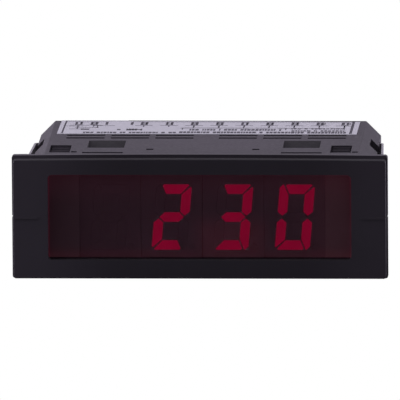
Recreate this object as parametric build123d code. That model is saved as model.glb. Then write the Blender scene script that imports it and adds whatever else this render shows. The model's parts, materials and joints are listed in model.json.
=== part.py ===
from build123d import *
import os
from math import radians, sqrt, tan

# Digital panel meter for a 68 by 22.2 mm panel cut-out, in millimetres.
# The origin is the centre of the plane where the flange meets the panel.
# +X is right as seen from the front, +Y goes back through the panel, +Z is up.

# Front frame
front_width = 72.0
front_height = 24.0
top_crown = 0.2
flange_thickness = 1.6
body_seat_depth = 0.2
body_seat_clearance = 0.05
rim_depth = 2.1
rim_side_inset = 0.3
rim_top_inset = 0.6
rim_bottom_inset = 0.25
front_corner_radius = 0.5
rim_edge_cut = 0.12
window_side_frame = 6.95
window_end_frame = 3.725
window_rise = 0.1
window_corner_radius = 0.8
window_recess = 1.5
side_ridge_length = 4.6
side_ridge_width = 0.4
side_ridge_depth = 0.15
side_notch_depth = 0.12

# Red filter behind the window opening
filter_thickness = 1.5
filter_lap = 1.1
filter_clearance = 0.1

# Housing
body_side_step = 3.0
body_end_step = 1.2
housing_depth = 45.0
housing_wall = 1.6
rear_wall = 1.6
bevel = 2.85
housing_edge_radius = 0.35
vents_per_side = 3
vent_width = 1.3
vent_bar = 1.21
vent_middle_gap = 4.87
vent_side_margin = 6.035
vent_row_front = 24.6
vent_row_spacing = 3.1
pocket_width = 7.1
pocket_length = 8.3
pocket_depth = 1.25
pocket_from_side = 14.2
pocket_front = 13.3
pocket_ramp = 4.7
slit_width = 7.8
slit_length = 1.3
slit_from_side = 13.9
slit_front = 7.0
groove_depth = 1.0
dash_width = 1.4
dash_from_side = 22.8
dash_front = 10.9
relief_width = 1.1
relief_gap = 0.25
relief_front = 7.9

# Latch arms of the front frame, seen through windows in the housing
latch_from_side = 6.0
latch_shift = 0.45
latch_width = 3.4
latch_thickness = 1.2
latch_window_front = 7.8
latch_window_length = 8.3
latch_clearance = 0.3
latch_sink = 0.3
latch_rib_count = 4
latch_rib_crest = 0.25
latch_groove_depth = 0.7
frame_root_height = 1.0
tongue_thickness = 1.2
tongue_height = 10.0

# Panel springs on the two side walls
spring_thickness = 0.4
spring_end_margin = 3.0
spring_rear = 36.5
spring_front = 2.2
spring_crest = 5.0
spring_rear_gap = 0.4
spring_crest_reach = 1.8
spring_tip_reach = 1.5
spring_bend_radius = 0.5
spring_hook_depth = 0.9
spring_seat_clearance = 0.3
spring_slot_front = 25.0
spring_slot_length = 7.0
spring_slot_end_margin = 1.4
spring_slot_depth = 4.0
spring_tab_width = 3.0
spring_tab_shares = (0.288, -0.096)
spring_tab_front = 23.0
spring_tab_rear = 28.2
spring_tab_gap = 0.2

# LED digits
digit_count = 4
digit_row_margin = 5.45
digit_gap = 0.1
digit_body_lap = 0.425
digit_body_depth = 7.0
digit_offset = 0.45
digit_drop = 0.26
digit_face_gap = 0.3
digit_edge_radius = 0.4
glyph_width_share = 0.568
glyph_end_margin = 2.38
stroke_share = 0.268
slant = 5.0
segment_gap = 0.16
segment_depth = 1.0
segment_clearance = 0.04
glyph_corner_share = 0.36
short_mitre = 0.5
segment_tip = 0.3
point_radius = 0.6
point_side = 1.15
point_sides = 8
digit_pin = 0.5
digit_pin_pitch = 2.54
digit_pins_per_row = 5
digit_pin_margin = 1.08
digit_standoff = 0.5
pin_tail = 0.8
pin_hole_clearance = 0.1
shown_text = " 230"

# Circuit boards
board_thickness = 1.6
display_board_clearance = 0.5
display_board_corner = 1.6
main_board_lift = 4.2
main_board_side_gap = 0.3
main_board_front_gap = 1.2
main_board_rear_gap = 0.3
board_rail = 1.0
board_rail_height = 1.2
link_pin = 0.6
link_pin_count = 12
link_pin_height = 1.6
link_pin_reach = 3.7

# Pluggable terminals
connector_side_margin = 3.4
supply_poles = 2
signal_poles = 9
connector_gap = 2.2
header_end_wall = 0.5
header_depth = 10.8
header_height = 8.6
header_wall = 1.0
header_back = 2.0
header_opening_clearance = 0.15
header_pin = 1.0
header_pin_reach = 7.3
header_pin_set_back = 1.2
plug_clearance = 0.2
plug_nose_gap = 0.3
plug_head_depth = 9.0
plug_head_above = 3.4
plug_head_below = 1.0
plug_head_gap = 0.3
plug_head_side = 0.2
plug_chamfer = 1.2
chamber_side_wall = 0.5
chamber_height = 6.2
chamber_floor = 1.0
chamber_front = 1.9
cage_clearance = 0.1
cage_wall = 0.5
cage_length = 5.5
contact_size = 1.8
contact_clearance = 0.05
contact_channel_clearance = 0.1
screw_head_share = 0.32
screw_head_height = 1.6
screw_head_sides = 20
screw_head_sink = 1.4
screw_shank_share = 0.23
screw_shank_sides = 6
screw_shank_reach = 2.2
screw_slot = 0.6
screw_clearance = 0.1
screw_turn = 25

# Components on the main board
part_spacing = 1.0
part_edge = 0.6
parts_side_margin = 5.6
front_row_margin = 1.0
parts_top_gap = 1.9
transformer_setback = 1.6
back_row_share = 0.43
front_row_share = 0.452
can_step = 1.3
fuse_height = 7.5
film_width = 4.5
film_step = 3.3
regulator_share = 0.57
regulator_height = 4.6
bridge_width = 6.4
bridge_height = 3.3
chip_row_inset = 0.6
chip_height = 3.3
chip_lift = 0.5
chip_leg = 0.4
chip_leg_pitch = 2.54
chip_legs = 9

# Type label on the top face
label_side_margin = 4.05
label_front = 28.4
label_rear_margin = 1.1
label_skew = 0.6
label_thickness = 0.15

# Derived places along Y
front_face = -flange_thickness - rim_depth
filter_front = front_face + window_recess
filter_rear = filter_front + filter_thickness
digit_face = filter_rear + digit_face_gap
digit_back = digit_face + digit_body_depth
display_board_front = digit_back + digit_standoff
display_board_rear = display_board_front + board_thickness
main_board_front = display_board_rear + main_board_front_gap
main_board_rear = housing_depth - rear_wall - main_board_rear_gap
header_front = housing_depth - header_depth
plug_face = housing_depth + plug_head_gap
body_front = -body_seat_depth

# Derived widths and heights of the housing and the frame
housing_width = front_width - 2 * body_side_step
housing_height = front_height - 2 * body_end_step
half_width = housing_width / 2
half_height = housing_height / 2
inner_half_width = half_width - housing_wall
inner_half_height = half_height - housing_wall
window_width = front_width - 2 * window_side_frame
window_height = front_height - 2 * window_end_frame
filter_width = window_width + 2 * filter_lap
filter_height = window_height + 2 * filter_lap - 2 * window_rise
latch_centre = half_width - latch_from_side
latch_middles = (-latch_centre - latch_shift, latch_centre - latch_shift)
latch_outer = inner_half_height - latch_clearance
latch_inner = latch_outer - latch_thickness
pocket_centre = half_width - pocket_from_side
slit_centre = half_width - slit_from_side
dash_centre = half_width - dash_from_side
vent_field = half_width - vent_side_margin - vent_middle_gap / 2
vent_pitch = (vent_field + vent_bar) / vents_per_side
vent_length = vent_pitch - vent_bar
vent_first = (vent_middle_gap + vent_length) / 2
spring_height = housing_height - 2 * spring_end_margin
spring_slot_height = housing_height - 2 * spring_slot_end_margin
spring_slot_inner = half_width - spring_slot_depth
label_width = housing_width - 2 * label_side_margin
label_length = housing_depth - label_front - label_rear_margin

# Derived sizes of the digits
digit_pitch = (window_width - 2 * digit_row_margin) / digit_count
digit_body_height = window_height + 2 * digit_body_lap
digit_pin_rows = digit_body_height - 2 * digit_pin_margin
glyph_width = glyph_width_share * digit_pitch
glyph_height = digit_body_height - 2 * glyph_end_margin
stroke = stroke_share * glyph_width
glyph_corner = glyph_corner_share * stroke

# Derived places on the main board and along the row of terminals
main_board_top = main_board_lift - inner_half_height
main_board_bottom = main_board_top - board_thickness
main_board_half_width = inner_half_width - main_board_side_gap
transformer_height = inner_half_height - parts_top_gap - main_board_top
can_height = transformer_height - can_step
film_height = transformer_height - film_step
header_end_walls = 4 * header_end_wall
pole_row = housing_width - 2 * connector_side_margin - connector_gap - header_end_walls
pole_pitch = pole_row / (supply_poles + signal_poles)
chamber_width = pole_pitch - 2 * chamber_side_wall
screw_head_radius = screw_head_share * pole_pitch
screw_shank_radius = screw_shank_share * pole_pitch

os.makedirs("parts", exist_ok=True)


def block(x_low, x_high, y_low, y_high, z_low, z_high):
    """A rectangular solid between two corners."""
    middle = ((x_low + x_high) / 2, (y_low + y_high) / 2, (z_low + z_high) / 2)
    return Pos(*middle) * Box(x_high - x_low, y_high - y_low, z_high - z_low)


def prism(outline, y_low, y_high):
    """A front-view outline drawn out along Y."""
    return Pos(0, y_high, 0) * extrude(Plane.XZ * outline, y_high - y_low)


def side_prism(outline, x_low, x_high):
    """A side-view outline, Y across and Z up, drawn out along X."""
    return Pos(x_low, 0, 0) * extrude(Plane.YZ * outline, x_high - x_low)


def mirrored(solid):
    """The same solid on the other side of the middle."""
    return mirror(solid, Plane.YZ)


def save(shape, node):
    export_step(shape, "parts/" + node + ".step")


# Front frame


def front_outline(width, height, crown, radius):
    """A rectangle whose top edge bows up a little, with softened corners."""
    left = -width / 2
    right = width / 2
    low = -height / 2
    high = height / 2 - crown
    edges = Polyline((left, high), (left, low), (right, low), (right, high))
    edges += ThreePointArc((right, high), (0, high + crown), (left, high))
    face = make_face(edges)
    return fillet(face.vertices(), radius)


def latch_arm(middle):
    """One spring arm with its ribbed pad, as a side profile drawn out along X."""
    pad_front = latch_window_front + latch_clearance
    pad_rear = latch_window_front + latch_window_length - latch_clearance
    pad_top = half_height - latch_sink
    rib_pitch = (pad_rear - pad_front - latch_rib_crest) / latch_rib_count
    points = [(filter_rear, latch_inner), (pad_rear, latch_inner)]
    for step in range(latch_rib_count):
        rear = pad_rear - step * rib_pitch
        points.append((rear, pad_top))
        points.append((rear - latch_rib_crest, pad_top))
        points.append((rear - latch_rib_crest, pad_top - latch_groove_depth))
        points.append((rear - rib_pitch, pad_top - latch_groove_depth))
    points.append((pad_front + latch_rib_crest, pad_top))
    points.append((pad_front, pad_top))
    points.append((pad_front, latch_outer))
    points.append((body_front, latch_outer))
    points.append((body_front, filter_height / 2 + frame_root_height))
    points.append((filter_rear, filter_height / 2 + frame_root_height))
    outline = make_face(Polyline(*points, close=True))
    return side_prism(outline, middle - latch_width / 2, middle + latch_width / 2)


def side_tongue():
    """A tongue that reaches back and backs up the display board."""
    outer = inner_half_width - filter_clearance
    inner = outer - tongue_thickness
    root = filter_width / 2 + frame_root_height
    low = -tongue_height / 2
    tongue = block(inner, outer, filter_rear, display_board_front, low, -low)
    return tongue + block(inner, root, filter_rear, body_front, low, -low)


def front_frame():
    flange = prism(
        front_outline(front_width, front_height, top_crown, front_corner_radius),
        -flange_thickness,
        0,
    )
    rim_outline = front_outline(
        front_width - 2 * rim_side_inset,
        front_height - rim_top_inset - rim_bottom_inset,
        top_crown,
        front_corner_radius,
    )
    rim_drop = (rim_top_inset - rim_bottom_inset) / 2
    rim = prism(Pos(0, -rim_drop) * rim_outline, front_face, -flange_thickness)
    rim = chamfer(rim.faces().sort_by(Axis.Y)[0].edges(), rim_edge_cut)
    frame = flange + rim
    opening = Pos(0, window_rise) * RectangleRounded(window_width, window_height, window_corner_radius)
    frame -= prism(opening, front_face, filter_front)
    seat = Rectangle(filter_width + 2 * filter_clearance, filter_height + 2 * filter_clearance)
    frame -= prism(seat, filter_front, 0)
    seat_half = half_width + body_seat_clearance
    frame -= block(-seat_half, seat_half, body_front, 0, -front_height / 2, front_height / 2)
    ridge_end = front_width / 2 - rim_side_inset - rim_edge_cut
    ridge = block(
        ridge_end - side_ridge_length,
        ridge_end,
        front_face - side_ridge_depth,
        front_face,
        -side_ridge_width / 2,
        side_ridge_width / 2,
    )
    notch = block(
        front_width / 2 - side_notch_depth,
        front_width / 2,
        -flange_thickness,
        0,
        -side_ridge_width / 2,
        side_ridge_width / 2,
    )
    tongue = side_tongue()
    frame = frame + ridge + mirrored(ridge) + tongue + mirrored(tongue)
    for arm in (latch_arm(middle) for middle in latch_middles):
        frame = frame + arm + mirror(arm, Plane.XY)
    return frame - notch - mirrored(notch)


save(front_frame(), "front_frame")

# Red filter

save(prism(Rectangle(filter_width, filter_height), filter_front, filter_rear), "display_window")

# Housing


def housing_outline(inset):
    """The housing's bevelled cross-section, or one wall further in."""
    width = housing_width - 2 * inset
    height = housing_height - 2 * inset
    cut = bevel - inset * (2 - sqrt(2))
    return chamfer(Rectangle(width, height).vertices(), cut)


def connector_spans():
    """The header's low X, high X and pole count, for the supply and the signals."""
    supply_width = supply_poles * pole_pitch + 2 * header_end_wall
    signal_width = signal_poles * pole_pitch + 2 * header_end_wall
    row = supply_width + connector_gap + signal_width
    supply = (-row / 2, -row / 2 + supply_width, supply_poles)
    signal = (row / 2 - signal_width, row / 2, signal_poles)
    return {"supply": supply, "signal": signal}


def pole_places(span):
    low, high, poles = span
    return [(low + high) / 2 + (index - (poles - 1) / 2) * pole_pitch for index in range(poles)]


def both_faces(width, length, depth, middles, y_front):
    """Recesses of one depth in the top and bottom faces, at each of the middles along X."""
    cuts = []
    for x in middles:
        top = block(x - width / 2, x + width / 2, y_front, y_front + length, half_height - depth, half_height)
        cuts += [top, mirror(top, Plane.XY)]
    return cuts


def pockets():
    """Recesses in the top and bottom faces whose floors ramp up to the rear."""
    floor = half_height - pocket_depth
    rear = pocket_front + pocket_length
    outline = [
        (pocket_front, half_height),
        (pocket_front, floor),
        (rear - pocket_ramp, floor),
        (rear, half_height),
    ]
    one = side_prism(make_face(Polyline(*outline, close=True)), -pocket_width / 2, pocket_width / 2)
    both = [one, mirror(one, Plane.XY)]
    return [Pos(x, 0, 0) * cut for x in (-pocket_centre, pocket_centre) for cut in both]


def housing():
    outline = housing_outline(0)
    shell = prism(fillet(outline.vertices(), housing_edge_radius), body_front, housing_depth)
    shell = chamfer(shell.faces().sort_by(Axis.Y)[-1].edges(), housing_edge_radius)
    shell -= prism(housing_outline(housing_wall), body_front, housing_depth - rear_wall)
    rail_front = display_board_rear
    for low in (main_board_top, main_board_bottom - board_rail_height):
        rail = block(
            inner_half_width - board_rail,
            inner_half_width,
            rail_front,
            housing_depth - rear_wall,
            low,
            low + board_rail_height,
        )
        shell = shell + rail + mirrored(rail)
    cuts = []
    for row in range(2):
        y = vent_row_front + row * vent_row_spacing
        for index in range(vents_per_side):
            x = vent_first + index * vent_pitch
            cuts += [Pos(side * x, y, 0) * Box(vent_length, vent_width, housing_height) for side in (-1, 1)]
    latch_opening = latch_width + 2 * latch_clearance
    relief_step = (latch_opening + relief_width) / 2 + relief_gap
    reliefs = [middle + relief_step for middle in latch_middles]
    cuts += both_faces(latch_opening, latch_window_length, housing_wall, latch_middles, latch_window_front)
    cuts += pockets()
    cuts += both_faces(slit_width, slit_length, groove_depth, (-slit_centre, slit_centre), slit_front)
    cuts += both_faces(dash_width, slit_length, groove_depth, (-dash_centre, dash_centre), dash_front)
    cuts += both_faces(relief_width, slit_length, groove_depth, reliefs, relief_front)
    slot = block(
        spring_slot_inner,
        half_width,
        spring_slot_front,
        spring_slot_front + spring_slot_length,
        -spring_slot_height / 2,
        spring_slot_height / 2,
    )
    seat_half = spring_thickness / 2 + spring_seat_clearance
    seat = block(
        half_width - spring_hook_depth,
        half_width,
        spring_rear - seat_half,
        spring_rear + seat_half,
        -spring_height / 2 - spring_seat_clearance,
        spring_height / 2 + spring_seat_clearance,
    )
    cuts += [slot, mirrored(slot), seat, mirrored(seat)]
    for low, high, _ in connector_spans().values():
        cuts.append(
            block(
                low - header_opening_clearance,
                high + header_opening_clearance,
                housing_depth - rear_wall,
                housing_depth,
                main_board_top - header_opening_clearance,
                main_board_top + header_height + header_opening_clearance,
            )
        )
    return shell - cuts


save(housing(), "housing")

# Type label, stuck on a little askew

label = block(
    -label_width / 2,
    label_width / 2,
    -label_length / 2,
    label_length / 2,
    half_height,
    half_height + label_thickness,
)
save(Pos(0, label_front + label_length / 2, 0) * Rot(0, 0, -label_skew) * label, "type_label")

# Panel springs


def panel_spring():
    """The right-hand leaf spring: hook, leaf, crest and turned-in tip, with two hold-down tabs."""
    leaf_rear = half_width + spring_rear_gap + spring_thickness / 2
    crest = half_width + spring_crest_reach - spring_thickness / 2
    tip = half_width + spring_tip_reach - spring_thickness / 2
    hook = half_width - spring_hook_depth + spring_seat_clearance
    path = FilletPolyline(
        (hook, spring_rear, 0),
        (leaf_rear, spring_rear, 0),
        (crest, spring_crest, 0),
        (tip, spring_front, 0),
        radius=spring_bend_radius,
    )
    start = Plane(origin=path @ 0, x_dir=(0, 1, 0), z_dir=(1, 0, 0))
    leaf = sweep(start * Rectangle(spring_thickness, spring_height), path=path)
    wall_inside = inner_half_width - spring_tab_gap
    lip_inside = wall_inside - spring_thickness
    leaf_slope = (crest - leaf_rear) / (spring_rear - spring_crest)
    leaf_at_tab = leaf_rear + leaf_slope * (spring_rear - spring_tab_rear)
    for share in spring_tab_shares:
        low = share * spring_height - spring_tab_width / 2
        high = share * spring_height + spring_tab_width / 2
        cut_rear = spring_tab_rear + leaf_at_tab - wall_inside
        leaf -= block(half_width, front_width / 2, spring_tab_rear, cut_rear, low, high)
        leg = block(
            lip_inside,
            leaf_at_tab,
            spring_tab_rear - spring_thickness,
            spring_tab_rear,
            low,
            high,
        )
        lip = block(lip_inside, wall_inside, spring_tab_front, spring_tab_rear, low, high)
        leaf = leaf + leg + lip
    return leaf


right_spring = panel_spring()
save(right_spring, "panel_spring_right")
save(mirrored(right_spring), "panel_spring_left")

# LED digits


def slanted(points):
    return [(x + y * tan(radians(slant)), y) for x, y in points]


def turned(points):
    return [(-x, -y) for x, y in points]


def segment_points():
    """The corner points of the seven strokes, named a to g in the usual order."""
    w = glyph_width / 2
    h = glyph_height / 2
    s = stroke
    d = segment_gap
    tip = -w + s - short_mitre * s + d
    top = [
        (tip + short_mitre * segment_tip, h - segment_tip),
        (tip + segment_tip, h),
        (w - glyph_corner, h),
        (w - glyph_corner / 2 - d, h - glyph_corner / 2 + d),
        (w - s - d, h - s),
        (-w + s + d, h - s),
    ]
    upper_right = [
        (w - s, h - s - d),
        (w - glyph_corner / 2 + d, h - glyph_corner / 2 - d),
        (w, h - glyph_corner),
        (w, s / 2 + d),
        (w - s / 2, 2 * d),
        (w - s, s / 2 + d),
    ]
    upper_left = [
        (-w, h - glyph_corner),
        (-w + glyph_corner, h),
        (-w + s - short_mitre * s - d, h),
        (-w + s, h - s - d / short_mitre),
        (-w + s, s / 2 + d),
        (-w + s / 2, 2 * d),
        (-w, s / 2 + d),
    ]
    middle = [
        (-w + s / 2 + d, 0),
        (-w + s + d, s / 2),
        (w - s - d, s / 2),
        (w - s / 2 - d, 0),
        (w - s - d, -s / 2),
        (-w + s + d, -s / 2),
    ]
    return {
        "a": top,
        "b": upper_right,
        "c": turned(upper_left),
        "d": turned(top),
        "e": turned(upper_right),
        "f": upper_left,
        "g": middle,
    }


def segment_faces():
    outlines = segment_points().items()
    return {name: make_face(Polyline(*slanted(points), close=True)) for name, points in outlines}


strokes_of = {
    "0": "abcdef",
    "1": "bc",
    "2": "abged",
    "3": "abgcd",
    "4": "fgbc",
    "5": "afgcd",
    "6": "afgedc",
    "7": "abc",
    "8": "abcdefg",
    "9": "abcdfg",
}
digit_places = [
    Pos(digit_offset + (index - (digit_count - 1) / 2) * digit_pitch, 0, -digit_drop)
    for index in range(digit_count)
]
point_x = glyph_width / 2 - glyph_height / 2 * tan(radians(slant)) + point_side
point_face = Pos(point_x, -glyph_height / 2 + point_radius) * RegularPolygon(point_radius, point_sides)


def well(face):
    opening = offset(face, segment_clearance, kind=Kind.INTERSECTION)
    return prism(opening, digit_face, digit_face + segment_depth)


def digit_body(faces):
    outline = Rectangle(digit_pitch - digit_gap, digit_body_height)
    body = prism(fillet(outline.vertices(), digit_edge_radius), digit_face, digit_back)
    for face in faces:
        body -= well(face)
    return body


def pin_places():
    """Where one digit's pins stand, in a row above and a row below."""
    first = -(digit_pins_per_row - 1) / 2 * digit_pin_pitch
    columns = [first + index * digit_pin_pitch for index in range(digit_pins_per_row)]
    return [(x, row * digit_pin_rows / 2) for row in (-1, 1) for x in columns]


strokes = segment_faces()
lit_strokes = []
unlit_strokes = []
points_shown = []
pins = []
board_holes = []
hole_side = digit_pin + 2 * pin_hole_clearance
one_pin = prism(Rectangle(digit_pin, digit_pin), digit_back, display_board_rear + pin_tail)
one_hole = prism(Rectangle(hole_side, hole_side), display_board_front, display_board_rear)
plain_digit = digit_body(list(strokes.values()) + [point_face])
for index, place in enumerate(digit_places):
    save(place * plain_digit, "digit_body_" + str(index + 1))
    lit_names = strokes_of.get(shown_text[index], "")
    for name, face in strokes.items():
        filled = place * prism(face, digit_face, digit_face + segment_depth)
        if name in lit_names:
            lit_strokes.append(filled)
        else:
            unlit_strokes.append(filled)
    points_shown.append(place * prism(point_face, digit_face, digit_face + segment_depth))
    for x, z in pin_places():
        pins.append(place * Pos(x, 0, z) * one_pin)
        board_holes.append(place * Pos(x, 0, z) * one_hole)
save(Compound(children=lit_strokes), "lit_segments")
save(Compound(children=unlit_strokes), "unlit_segments")
save(Compound(children=points_shown), "decimal_points")
save(Compound(children=pins), "digit_pins")

# Link pins between the two boards

link_places = [(index - (link_pin_count - 1) / 2) * digit_pin_pitch for index in range(link_pin_count)]
link_z = main_board_top + link_pin_height
link_y = display_board_rear + link_pin_reach


def bent_pin(size, y_start, y_bend, z_run, z_end):
    """A square pin that runs along Y and turns down through the main board."""
    half = size / 2
    outline = [
        (y_start, z_run + half),
        (y_start, z_run - half),
        (y_bend - half, z_run - half),
        (y_bend - half, z_end),
        (y_bend + half, z_end),
        (y_bend + half, z_run + half),
    ]
    return side_prism(make_face(Polyline(*outline, close=True)), -half, half)


link_start = display_board_front - digit_standoff / 2
link_one = bent_pin(link_pin, link_start, link_y, link_z, main_board_bottom - pin_tail)
save(Compound(children=[Pos(x, 0, 0) * link_one for x in link_places]), "board_link_pins")

# Display board


def display_board():
    half_x = inner_half_width - display_board_clearance
    half_z = inner_half_height - display_board_clearance
    outline = chamfer(Rectangle(2 * half_x, 2 * half_z).vertices(), display_board_corner)
    board = prism(outline, display_board_front, display_board_rear)
    cuts = list(board_holes)
    notch = prism(
        Rectangle(latch_width + 2 * latch_clearance, 2 * (half_z - latch_inner + latch_clearance)),
        display_board_front,
        display_board_rear,
    )
    cuts += [Pos(x, 0, z) * notch for x in latch_middles for z in (-half_z, half_z)]
    hole = link_pin + 2 * pin_hole_clearance
    one = prism(Rectangle(hole, hole), display_board_front, display_board_rear)
    cuts += [Pos(x, 0, link_z) * one for x in link_places]
    return board - cuts


save(display_board(), "display_board")

# Terminal headers, plugs and their metal parts

header_low = main_board_top
header_high = main_board_top + header_height
cavity_low = header_low + header_wall
cavity_high = header_high - header_wall
cavity_front = header_front + header_back
pin_z = (cavity_low + cavity_high) / 2
pin_bend_y = header_front - header_pin_set_back
head_low = header_low - plug_head_below
head_high = header_high + plug_head_above
head_rear = plug_face + plug_head_depth
chamber_low = head_low + chamber_floor
chamber_high = chamber_low + chamber_height
chamber_y = plug_face + chamber_front
cage_rear = chamber_y + cage_clearance + cage_length
cage_middle = chamber_y + cage_clearance + cage_length / 2
nose_front = cavity_front + plug_nose_gap


def header(span):
    low, high, _ = span
    body = block(low, high, header_front, housing_depth, header_low, header_high)
    body = chamfer(body.edges().filter_by(Axis.X).sort_by(Axis.Y)[:2].sort_by(Axis.Z)[-1], header_wall)
    body -= block(
        low + header_end_wall,
        high - header_end_wall,
        cavity_front,
        housing_depth,
        cavity_low,
        cavity_high,
    )
    half = header_pin / 2 + contact_clearance
    hole = block(-half, half, header_front, cavity_front, pin_z - half, pin_z + half)
    return body - [Pos(x, 0, 0) * hole for x in pole_places(span)]


def header_pins(span):
    tip = cavity_front + header_pin_reach
    outline = [
        (tip, pin_z + header_pin / 2),
        (tip, pin_z - header_pin / 2),
        (pin_bend_y + header_pin / 2, pin_z - header_pin / 2),
        (pin_bend_y + header_pin / 2, main_board_bottom - pin_tail),
        (pin_bend_y - header_pin / 2, main_board_bottom - pin_tail),
        (pin_bend_y - header_pin / 2, pin_z + header_pin / 2),
    ]
    one = side_prism(make_face(Polyline(*outline, close=True)), -header_pin / 2, header_pin / 2)
    return [Pos(x, 0, 0) * one for x in pole_places(span)]


def plug_body(span):
    low, high, _ = span
    outline = [
        (nose_front, cavity_low + plug_clearance),
        (plug_face, cavity_low + plug_clearance),
        (plug_face, head_low),
        (head_rear, head_low),
        (head_rear, head_high - plug_chamfer),
        (head_rear - plug_chamfer, head_high),
        (plug_face, head_high),
        (plug_face, cavity_high - plug_clearance),
        (nose_front, cavity_high - plug_clearance),
    ]
    inner_low = low + header_end_wall + plug_clearance
    inner_high = high - header_end_wall - plug_clearance
    profile = make_face(Polyline(*outline, close=True))
    body = side_prism(profile, inner_low, inner_high)
    for end_low, end_high in ((low + plug_head_side, inner_low), (inner_high, high - plug_head_side)):
        body += block(end_low, end_high, plug_face, head_rear - plug_chamfer, head_low, head_high)
    half = chamber_width / 2
    chamber = block(-half, half, chamber_y, head_rear, chamber_low, chamber_high)
    reach = contact_size / 2 + contact_channel_clearance
    channel = block(-reach, reach, nose_front, chamber_y, pin_z - reach, pin_z + reach)
    well_middle = (head_high + chamber_high) / 2
    screw_well = Cylinder(screw_head_radius + screw_clearance, head_high - chamber_high)
    hollow = [chamber, channel, Pos(0, cage_middle, well_middle) * screw_well]
    return body - [Pos(x, 0, 0) * piece for x in pole_places(span) for piece in hollow]


def plug_cages(span):
    """The box clamps that the terminal screws draw up on the wires."""
    width = chamber_width - 2 * cage_clearance
    height = chamber_height - 2 * cage_clearance
    middle = (chamber_low + chamber_high) / 2
    outline = Rectangle(width, height) - Rectangle(width - 2 * cage_wall, height - 2 * cage_wall)
    cage = prism(Pos(0, middle) * outline, chamber_y + cage_clearance, cage_rear)
    bore = 2 * (screw_shank_radius + cage_clearance)
    cage -= Pos(0, cage_middle, chamber_high) * Box(bore, bore, 2 * (cage_wall + cage_clearance))
    return [Pos(x, 0, 0) * cage for x in pole_places(span)]


def plug_contacts(span):
    """The square sockets that slide over the header's pins."""
    gap = header_pin + 2 * contact_clearance
    outline = Pos(0, pin_z) * (Rectangle(contact_size, contact_size) - Rectangle(gap, gap))
    socket = prism(outline, nose_front + plug_nose_gap, chamber_y + cage_clearance)
    return [Pos(x, 0, 0) * socket for x in pole_places(span)]


def plug_screws(span):
    """Slotted terminal screws, turned out to leave the clamps open."""
    head_top = head_high - screw_head_sink
    head_bottom = head_top - screw_head_height
    shank_end = chamber_high - screw_shank_reach
    head_outline = Pos(0, 0, head_bottom) * RegularPolygon(screw_head_radius, screw_head_sides)
    shank_outline = Pos(0, 0, shank_end) * RegularPolygon(screw_shank_radius, screw_shank_sides)
    head = extrude(head_outline, screw_head_height)
    shank = extrude(shank_outline, head_bottom - shank_end)
    slot = Pos(0, 0, head_top) * Box(2 * screw_head_radius, screw_slot, screw_head_height)
    one = head + shank - slot
    places = enumerate(pole_places(span))
    return [Pos(x, cage_middle, 0) * Rot(0, 0, screw_turn * index) * one for index, x in places]


all_header_pins = []
for name, span in connector_spans().items():
    save(header(span), name + "_header")
    all_header_pins += header_pins(span)
    save(plug_body(span), name + "_plug_body")
    save(Compound(children=plug_cages(span)), name + "_plug_clamps")
    save(Compound(children=plug_contacts(span)), name + "_plug_contacts")
    save(Compound(children=plug_screws(span)), name + "_plug_screws")
save(Compound(children=all_header_pins), "header_pins")

# Main board


def main_board():
    half_x = main_board_half_width
    board = block(-half_x, half_x, main_board_front, main_board_rear, main_board_bottom, main_board_top)
    middle = (main_board_bottom + main_board_top) / 2
    link_side = link_pin + 2 * pin_hole_clearance
    pole_side = header_pin + 2 * pin_hole_clearance
    link_hole = Box(link_side, link_side, board_thickness)
    pole_hole = Box(pole_side, pole_side, board_thickness)
    holes = [Pos(x, link_y, middle) * link_hole for x in link_places]
    for span in connector_spans().values():
        holes += [Pos(x, pin_bend_y, middle) * pole_hole for x in pole_places(span)]
    return board - holes


save(main_board(), "main_board")

# Components on the main board

parts_front = link_y + part_spacing
parts_rear = pin_bend_y - part_spacing
parts_left = part_spacing - spring_slot_inner + spring_tab_width / 2
parts_right = main_board_half_width - parts_side_margin
parts_depth = parts_rear - parts_front
back_row_depth = back_row_share * parts_depth
front_row_depth = front_row_share * parts_depth
can_radius = back_row_depth / 2
fuse_radius = back_row_depth / 2
chip_width = front_row_depth - 2 * chip_row_inset - 2 * chip_leg
chip_length = chip_legs * chip_leg_pitch
regulator_radius = regulator_share * front_row_depth / 2
bridge_x = main_board_half_width - front_row_margin - bridge_width / 2
controller_x = bridge_x - (bridge_width + chip_length) / 2 - part_spacing
regulator_x = controller_x - chip_length / 2 - part_spacing - regulator_radius
front_row_left = regulator_x - regulator_radius
back_row_parts = film_width + 2 * fuse_radius + 4 * can_radius
back_row_left = parts_right - back_row_parts - 3 * part_spacing
transformer_right = min(front_row_left, back_row_left) - part_spacing
transformer_length = transformer_right - parts_left
transformer_width = parts_depth - transformer_setback
back_row = parts_right - transformer_right
back_spacing = (back_row - back_row_parts) / 4


def standing(outline, height):
    """An outline seen from above, drawn up from the board."""
    return Pos(0, 0, main_board_top) * extrude(outline, height)


def moulded(width, length, height):
    """A moulded block about the board's own Z axis, with its top edges chamfered."""
    body = standing(Rectangle(width, length), height)
    return chamfer(body.faces().sort_by(Axis.Z)[-1].edges(), part_edge)


def chip():
    """A dual-in-line chip: moulded body with bevelled long edges, and bent legs."""
    body = Pos(0, 0, main_board_top + chip_lift + chip_height / 2) * Box(chip_length, chip_width, chip_height)
    body = chamfer(body.edges().filter_by(Axis.X), chip_lift)
    knee = chip_width / 2 + chip_leg
    middle = main_board_top + chip_lift + chip_height / 2
    outline = [
        (0, middle),
        (0, middle - chip_leg),
        (knee - chip_leg, middle - chip_leg),
        (knee - chip_leg, main_board_top),
        (knee, main_board_top),
        (knee, middle),
    ]
    leg = side_prism(make_face(Polyline(*outline, close=True)), -chip_leg, chip_leg)
    legs = [Pos((index - (chip_legs - 1) / 2) * chip_leg_pitch, 0, 0) * leg for index in range(chip_legs)]
    return body + legs + [mirror(one, Plane.XZ) for one in legs]


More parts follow.
